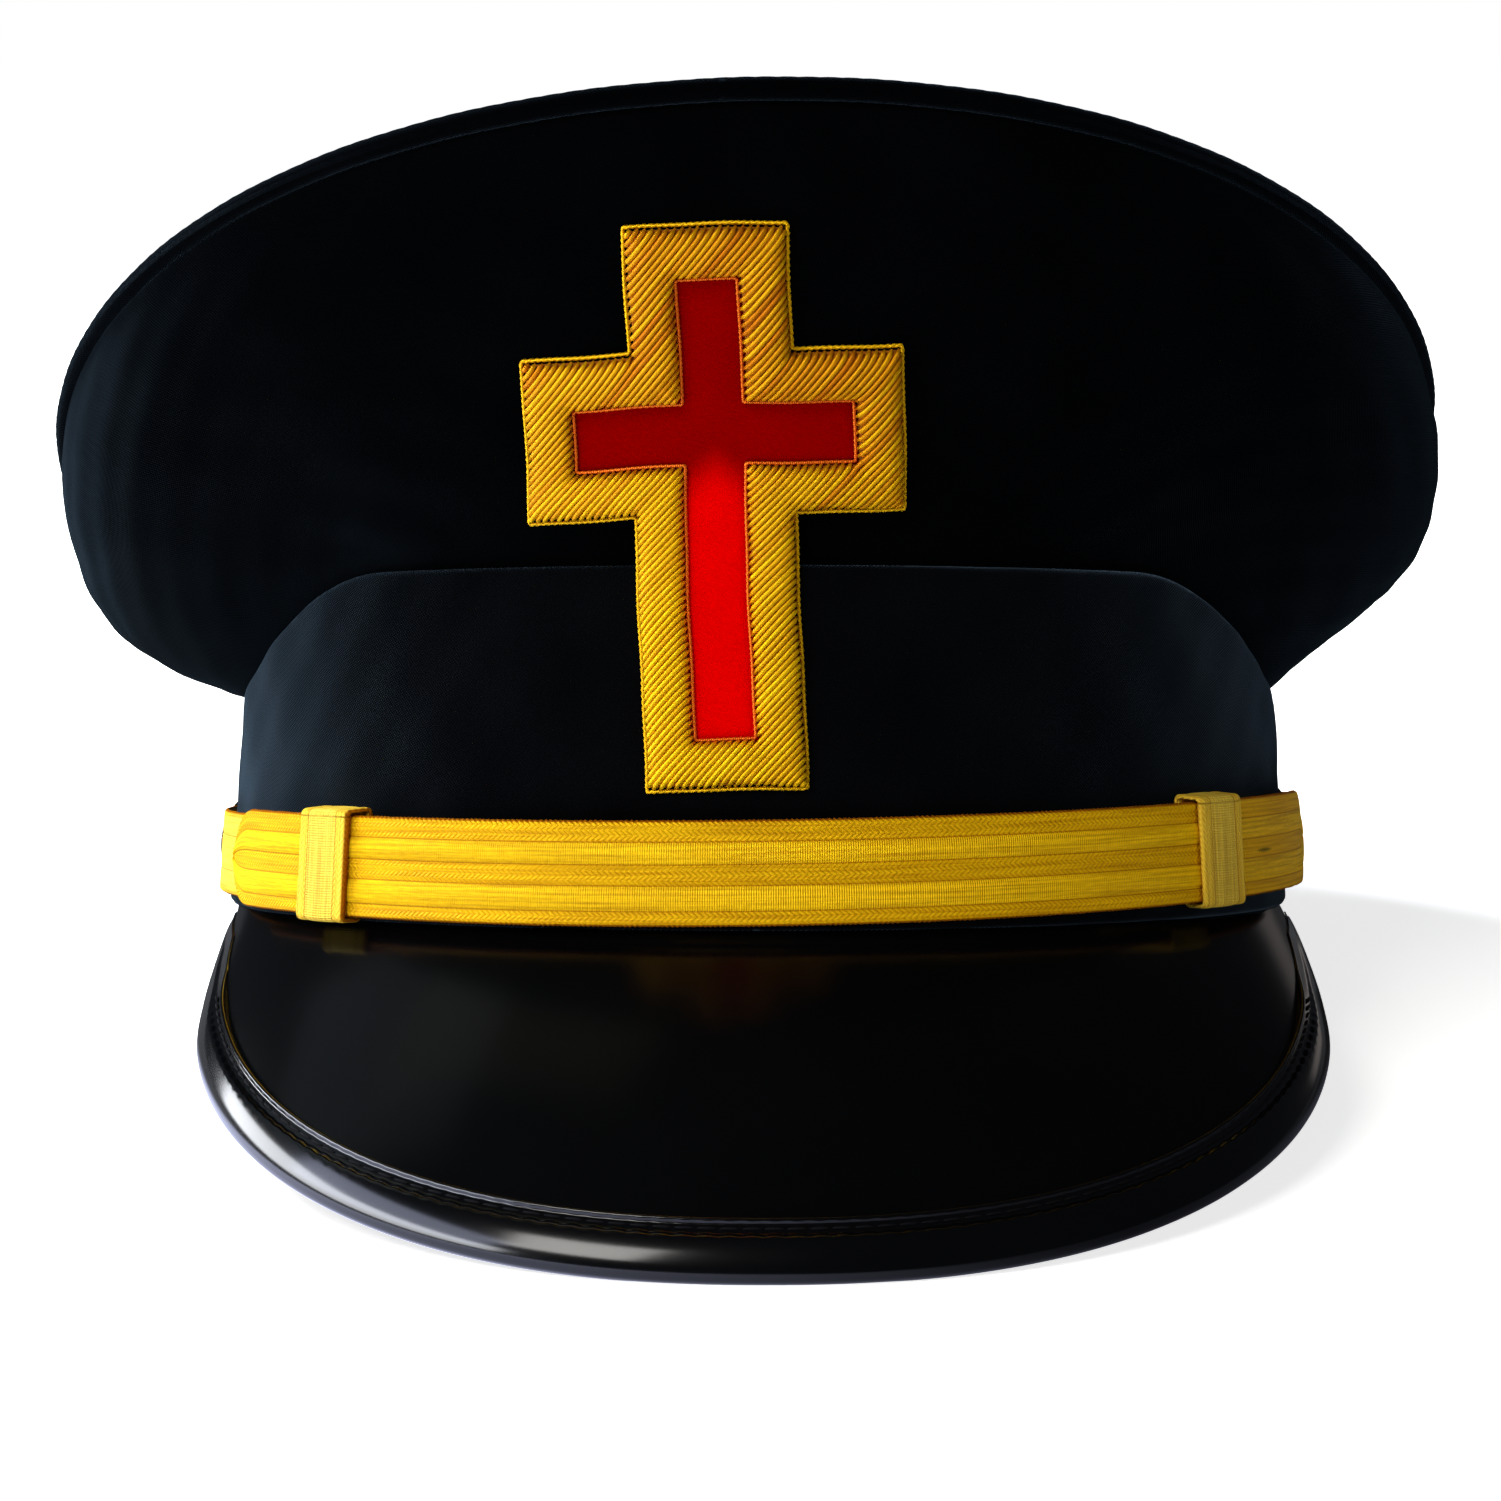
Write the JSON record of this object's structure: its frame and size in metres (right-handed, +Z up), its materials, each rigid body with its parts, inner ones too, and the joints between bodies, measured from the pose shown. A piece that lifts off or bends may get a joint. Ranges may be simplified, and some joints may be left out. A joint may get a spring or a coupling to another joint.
{
  "type": "fatigue cap",
  "caption": "Black cloth peaked cap with a wide crown high in front, a glossy peak, a gold lace chin strap and a gold-edged red cross patch.",
  "frame": {"origin": "centre of the bounding box's base, on the surface that the cap rests on", "axes": "+Z up from the surface, -Y towards the peak, +X to the right as one faces the peak"},
  "size_m": [0.2234, 0.2852, 0.153],
  "materials": {
    "black_cloth": "fine wool barathea, matt",
    "patent_leather": "black patent, high gloss",
    "gold_lace": "woven gold lace with lengthwise ribs",
    "gold_bullion": "laid gold bullion wire",
    "red_cloth": "red satin weave",
    "gilt": "polished gilt"
  },
  "bodies": {
    "root": {"crown_top": "black_cloth", "crown_welt": "black_cloth", "crown_side": "black_cloth", "band": "black_cloth", "peak": "patent_leather", "peak_binding": "patent_leather", "strap_under": "gold_lace", "strap_front": "gold_lace", "slide_left": "gold_lace", "slide_right": "gold_lace", "button_left": "gilt", "button_right": "gilt", "cross_border": "gold_bullion", "cross_field": "red_cloth"}
  },
  "joints": []
}
